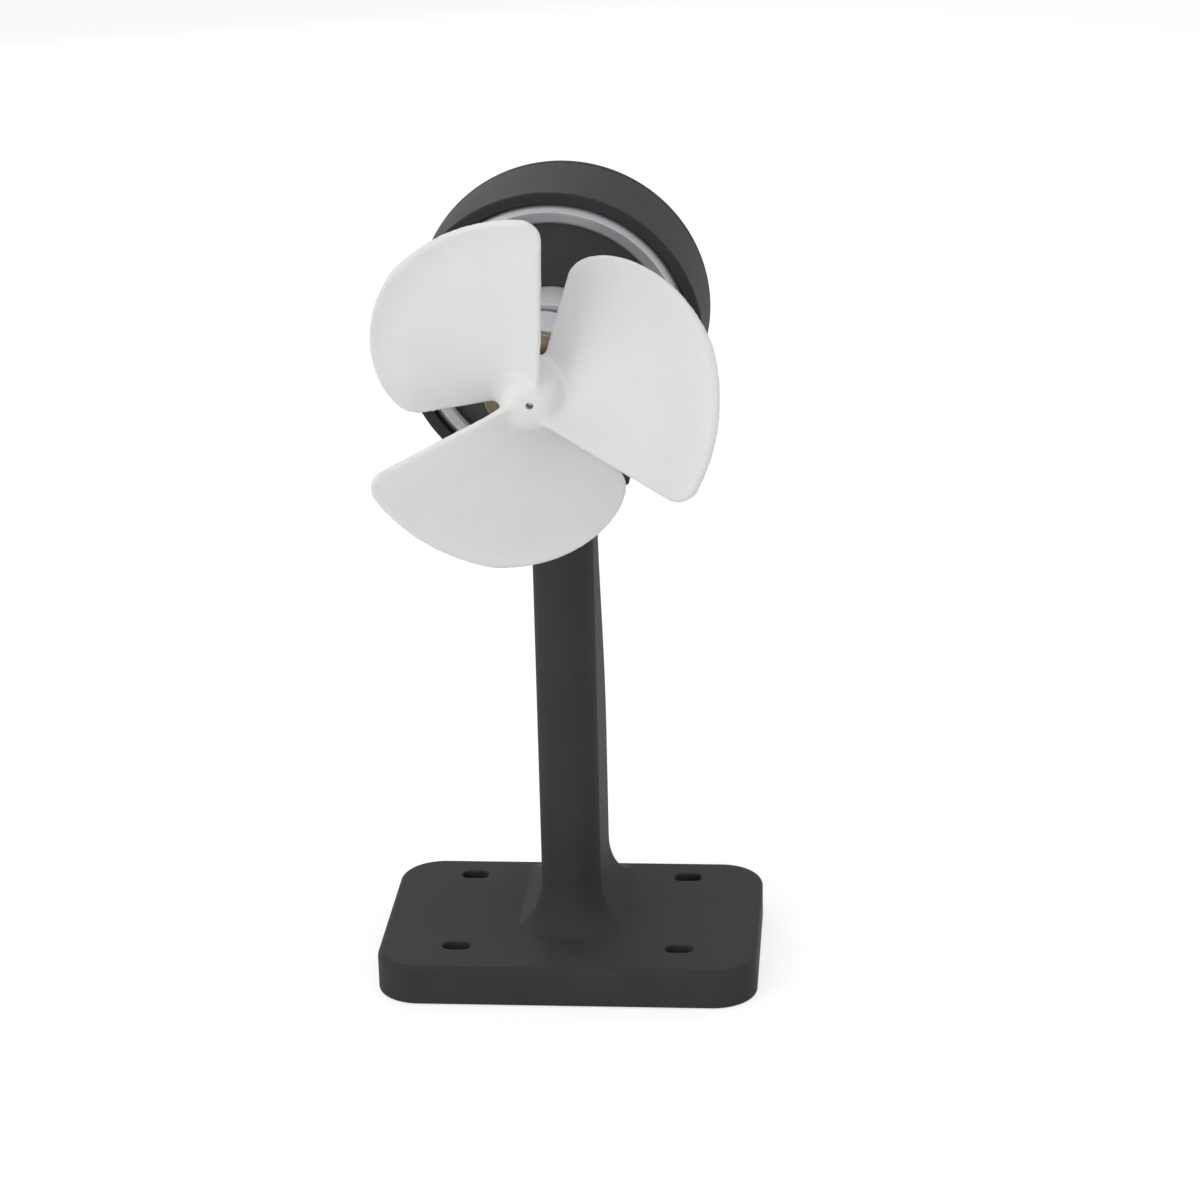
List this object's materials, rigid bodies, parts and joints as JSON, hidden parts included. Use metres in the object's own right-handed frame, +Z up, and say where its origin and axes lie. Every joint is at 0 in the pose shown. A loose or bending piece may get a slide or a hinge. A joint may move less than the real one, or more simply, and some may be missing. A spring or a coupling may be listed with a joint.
{
  "type": "wind_turbine_model",
  "caption": "Small horizontal-axis wind turbine: white propeller, ring-shaped generator and a cast pedestal with fixing slots",
  "frame": {"origin": "underside of the base plate, midway between its four slots, on the surface that the part stands on", "axes": "+Z up the pedestal; the shaft runs level along Y, with the propeller towards -Y and the rear cover towards +Y; X across"},
  "size_m": [0.1156, 0.1258, 0.2526],
  "materials": {
    "black_coat": "black powder coat, satin",
    "grey_coat": "dark grey coat, satin",
    "silver_ring": "fine turned, clear",
    "black_plate": "black, satin",
    "grey_aluminium": "turned, matte",
    "white_sleeve": "smooth, bluish white",
    "brass_cap": "dull, turned",
    "white_nylon": "moulded, satin, slightly translucent",
    "bright_steel": "ground",
    "dark_steel": "blackened",
    "lamination_steel": "stacked sheet, matte",
    "copper_winding": "enamelled copper wire",
    "nickel_magnet": "nickel plated",
    "black_rubber": "matte"
  },
  "bodies": {
    "stand": {"pedestal": "black_coat", "ring_housing": "grey_coat", "rear_cover": "grey_coat", "front_bezel": "silver_ring", "front_plate": "black_plate", "bearing_nose": "grey_aluminium", "groove_ring": "black_rubber", "nose_sleeve": "white_sleeve", "nose_cap": "brass_cap", "output_grommet": "black_rubber", "stator_core": "lamination_steel", "front_bearing_outer_ring": "bright_steel", "rear_bearing_outer_ring": "bright_steel", "front_plate_screw_1": "dark_steel", "front_plate_screw_2": "dark_steel", "front_plate_screw_3": "dark_steel", "rear_cover_screw_1": "dark_steel", "rear_cover_screw_2": "dark_steel", "rear_cover_screw_3": "dark_steel", "rear_cover_screw_4": "dark_steel", "saddle_screw_1": "dark_steel", "saddle_screw_2": "dark_steel", "coil_1": "copper_winding", "coil_2": "copper_winding", "coil_3": "copper_winding", "coil_4": "copper_winding", "coil_5": "copper_winding", "coil_6": "copper_winding", "coil_7": "copper_winding", "coil_8": "copper_winding", "coil_9": "copper_winding"},
    "rotor": {"propeller": "white_nylon", "hub_insert": "brass_cap", "shaft": "bright_steel", "rotor_core": "lamination_steel", "retaining_ring": "dark_steel", "front_bearing_inner_ring": "bright_steel", "rear_bearing_inner_ring": "bright_steel", "front_ball_cage": "bright_steel", "rear_ball_cage": "bright_steel", "magnet_1": "nickel_magnet", "magnet_2": "nickel_magnet", "magnet_3": "nickel_magnet", "magnet_4": "nickel_magnet", "magnet_5": "nickel_magnet", "magnet_6": "nickel_magnet", "magnet_7": "nickel_magnet", "magnet_8": "nickel_magnet"}
  },
  "joints": [
    {"name": "rotor_spin", "type": "hinge", "parent": "stand", "child": "rotor", "pos_m": [0, -0.08, 0.202], "axis": [0, 1, 0], "continuous": true}
  ]
}
